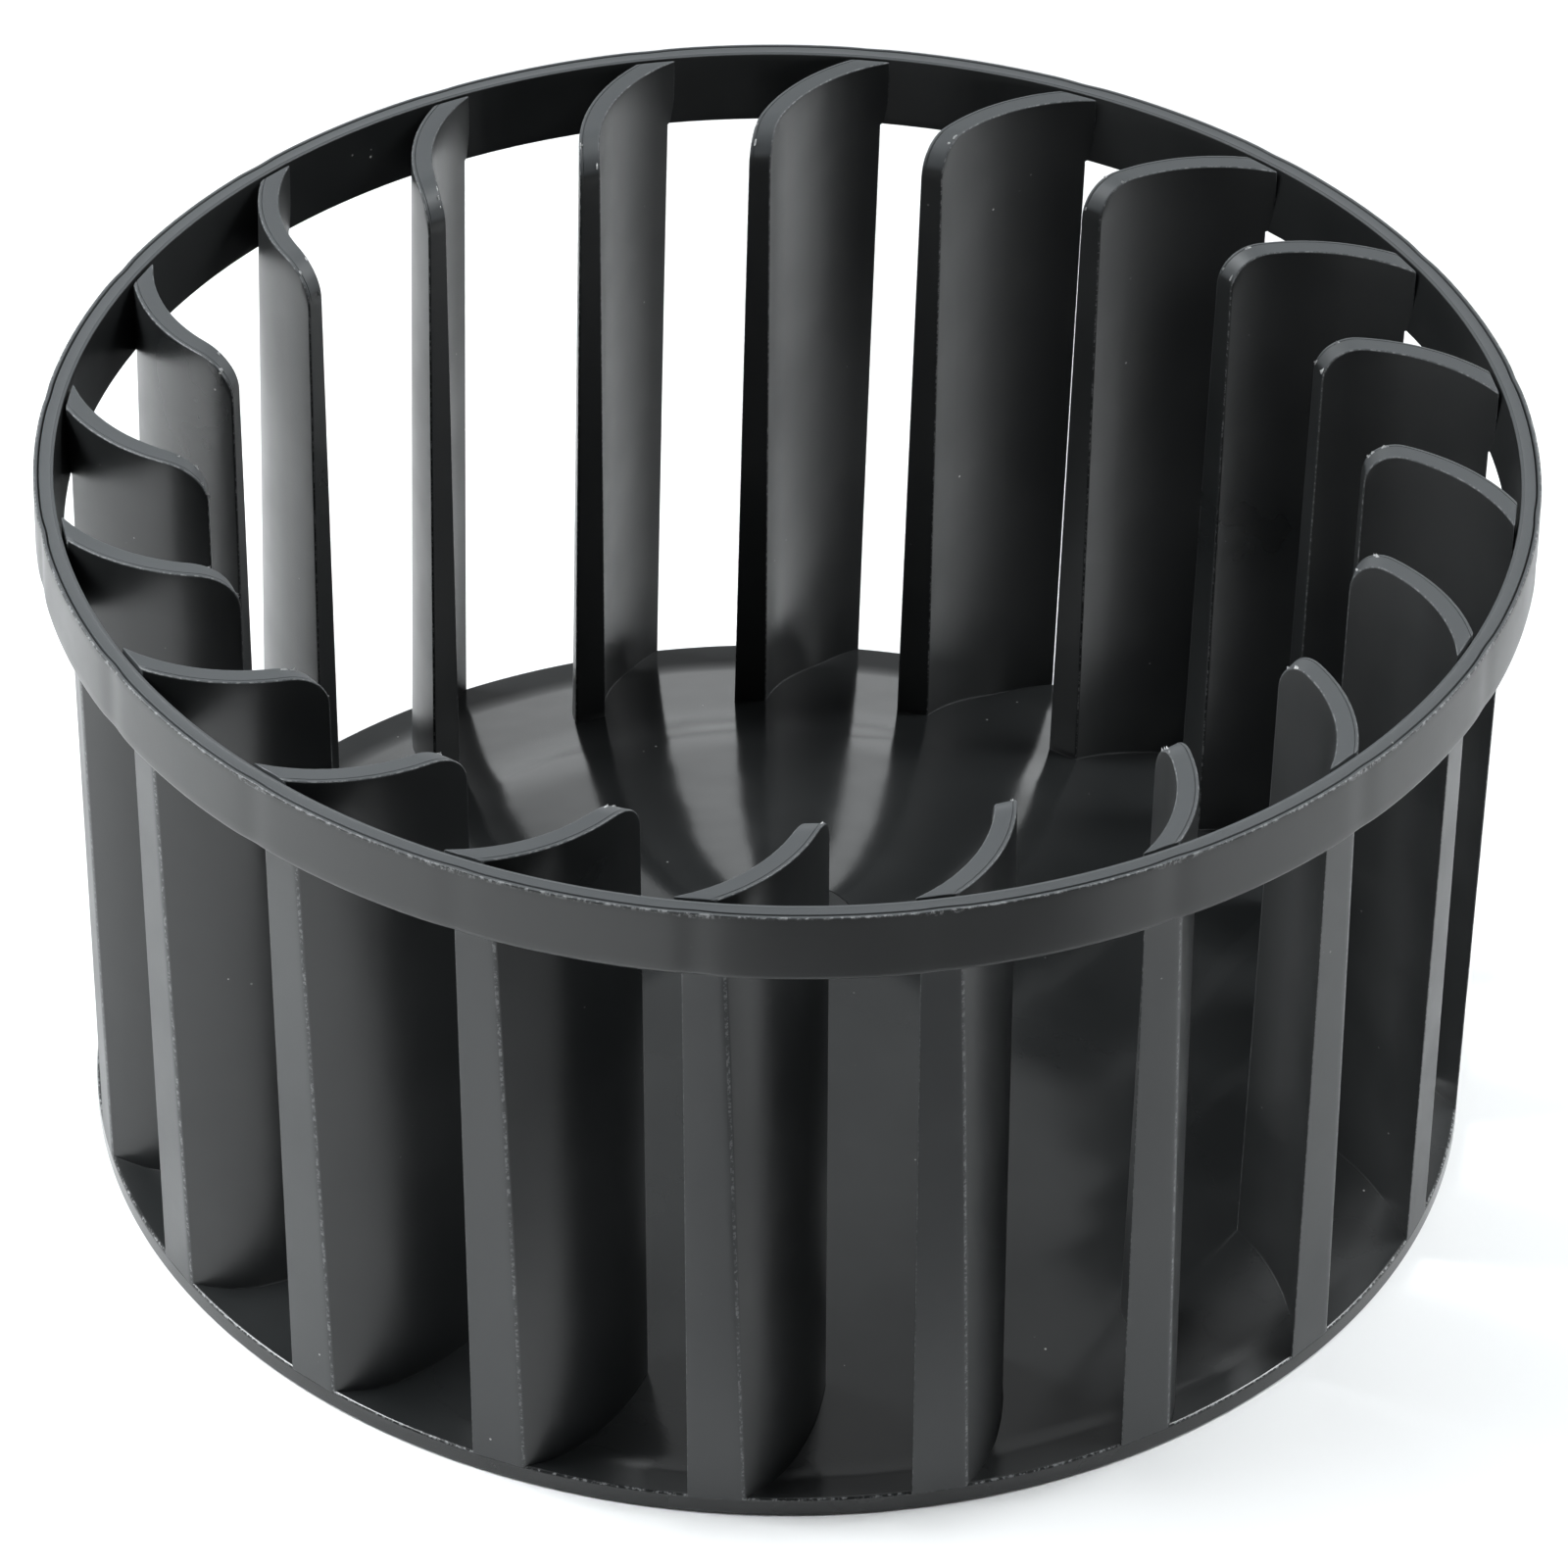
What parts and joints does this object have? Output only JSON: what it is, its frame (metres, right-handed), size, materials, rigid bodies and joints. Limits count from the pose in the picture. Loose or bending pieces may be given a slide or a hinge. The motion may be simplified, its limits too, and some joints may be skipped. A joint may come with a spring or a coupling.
{
  "type": "centrifugal blower wheel",
  "caption": "Squirrel-cage blower wheel with forward-curved blades between an open end ring and a closed back plate, clamped to a motor shaft.",
  "frame": {"origin": "on the rotation axis, in the plane of the back plate's underside", "axes": "+Z along the rotation axis towards the open inlet; -Y towards the front of the picture; X to its right"},
  "size_m": [0.146, 0.146, 0.076],
  "materials": {
    "black_plastic": "moulded, semi-matte",
    "clamp_steel": "spring steel, plain"
  },
  "bodies": {
    "wheel": {"end_ring": "black_plastic", "back_plate": "black_plastic", "hub": "black_plastic", "blade_01": "black_plastic", "blade_02": "black_plastic", "blade_03": "black_plastic", "blade_04": "black_plastic", "blade_05": "black_plastic", "blade_06": "black_plastic", "blade_07": "black_plastic", "blade_08": "black_plastic", "blade_09": "black_plastic", "blade_10": "black_plastic", "blade_11": "black_plastic", "blade_12": "black_plastic", "blade_13": "black_plastic", "blade_14": "black_plastic", "blade_15": "black_plastic", "blade_16": "black_plastic", "blade_17": "black_plastic", "blade_18": "black_plastic", "blade_19": "black_plastic", "blade_20": "black_plastic"},
    "clamp": {"hub_clamp": "clamp_steel"}
  },
  "joints": [
    {"name": "clamp_slide", "type": "slide", "parent": "wheel", "child": "clamp", "axis": [0, 0, -1], "range_m": [0, 0.0075]}
  ]
}
